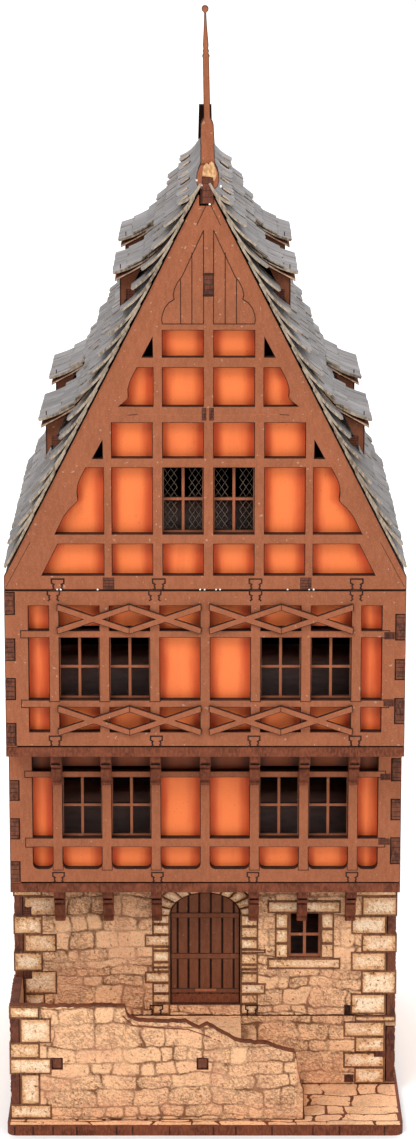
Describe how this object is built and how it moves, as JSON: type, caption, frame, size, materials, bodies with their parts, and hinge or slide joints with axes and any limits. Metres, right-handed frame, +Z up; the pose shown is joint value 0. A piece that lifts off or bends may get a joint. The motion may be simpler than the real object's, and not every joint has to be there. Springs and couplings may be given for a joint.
{
  "type": "tabletop model house",
  "caption": "Half-timbered tabletop town house cut from flat boards, with lift-off storeys and roof, a hinged plank door and a broken terrace wall.",
  "frame": {"origin": "middle of the underside of the base plate", "axes": "+X to the right seen from the front, +Y from the front towards the back, +Z up"},
  "size_m": [0.1256, 0.144, 0.3524],
  "materials": {
    "timber_board": "matte fibreboard with a fine speckled grain",
    "scorched_board": "matte scorched cut edge",
    "painted_infill": "matte orange paint on fibreboard",
    "stone_cut_board": "matte pale face with engraved stonework",
    "roof_board": "matte grey paint with tan cut edges",
    "plank_board": "matte dark engraved planks"
  },
  "bodies": {
    "base": {"base_plate": "stone_cut_board", "basement_back_wall": "stone_cut_board", "basement_front_wall": "stone_cut_board", "basement_left_wall": "stone_cut_board", "basement_right_wall": "stone_cut_board", "terrace_floor": "stone_cut_board", "terrace_front_wall": "stone_cut_board", "terrace_left_wall": "stone_cut_board", "terrace_rib_1": "timber_board", "terrace_rib_2": "timber_board", "terrace_steps": "stone_cut_board"},
    "ground_floor": {"ground_back_wall": "stone_cut_board", "ground_corbel_rail": "timber_board", "ground_floor_plate": "timber_board", "ground_front_wall": "stone_cut_board", "ground_left_wall": "stone_cut_board", "ground_right_wall": "stone_cut_board", "ground_window_frame": "timber_board"},
    "door": {"door_leaf": "plank_board"},
    "first_floor": {"first_back_wall": "timber_board", "first_corbel_rail": "timber_board", "first_floor_plate": "scorched_board", "first_front_frame": "timber_board", "first_front_infill": "painted_infill", "first_left_wall": "timber_board", "first_right_wall": "timber_board"},
    "second_floor": {"second_back_wall": "timber_board", "second_brace_lower_left": "timber_board", "second_brace_lower_right": "timber_board", "second_brace_upper_left": "timber_board", "second_brace_upper_right": "timber_board", "second_floor_plate": "scorched_board", "second_front_frame": "timber_board", "second_front_infill": "painted_infill", "second_left_wall": "timber_board", "second_right_wall": "timber_board"},
    "roof": {"attic_floor_plate": "timber_board", "dormer_box_left_lower_back": "timber_board", "dormer_box_left_lower_front": "timber_board", "dormer_box_left_upper_back": "timber_board", "dormer_box_left_upper_front": "timber_board", "dormer_box_right_lower_back": "timber_board", "dormer_box_right_lower_front": "timber_board", "dormer_box_right_upper_back": "timber_board", "dormer_box_right_upper_front": "timber_board", "dormer_roof_left_lower_back": "roof_board", "dormer_roof_left_lower_front": "roof_board", "dormer_roof_left_upper_back": "roof_board", "dormer_roof_left_upper_front": "roof_board", "dormer_roof_right_lower_back": "roof_board", "dormer_roof_right_lower_front": "roof_board", "dormer_roof_right_upper_back": "roof_board", "dormer_roof_right_upper_front": "roof_board", "finial_front": "timber_board", "gable_back_wall": "timber_board", "gable_front_frame": "timber_board", "gable_front_infill": "painted_infill", "ridge_board": "scorched_board", "roof_slope_left": "roof_board", "roof_slope_right": "roof_board"}
  },
  "joints": [
    {"name": "ground_floor_lift", "type": "slide", "parent": "base", "child": "ground_floor", "axis": [0, 0, 1], "range_m": [0, 0.06]},
    {"name": "door_hinge", "type": "hinge", "parent": "ground_floor", "child": "door", "pos_m": [-0.0112, -0.0342, 0.0307], "axis": [0, 0, 1], "range_deg": [0, 95]},
    {"name": "first_floor_lift", "type": "slide", "parent": "ground_floor", "child": "first_floor", "axis": [0, 0, 1], "range_m": [0, 0.06]},
    {"name": "second_floor_lift", "type": "slide", "parent": "first_floor", "child": "second_floor", "axis": [0, 0, 1], "range_m": [0, 0.06]},
    {"name": "roof_lift", "type": "slide", "parent": "second_floor", "child": "roof", "axis": [0, 0, 1], "range_m": [0, 0.07]}
  ]
}
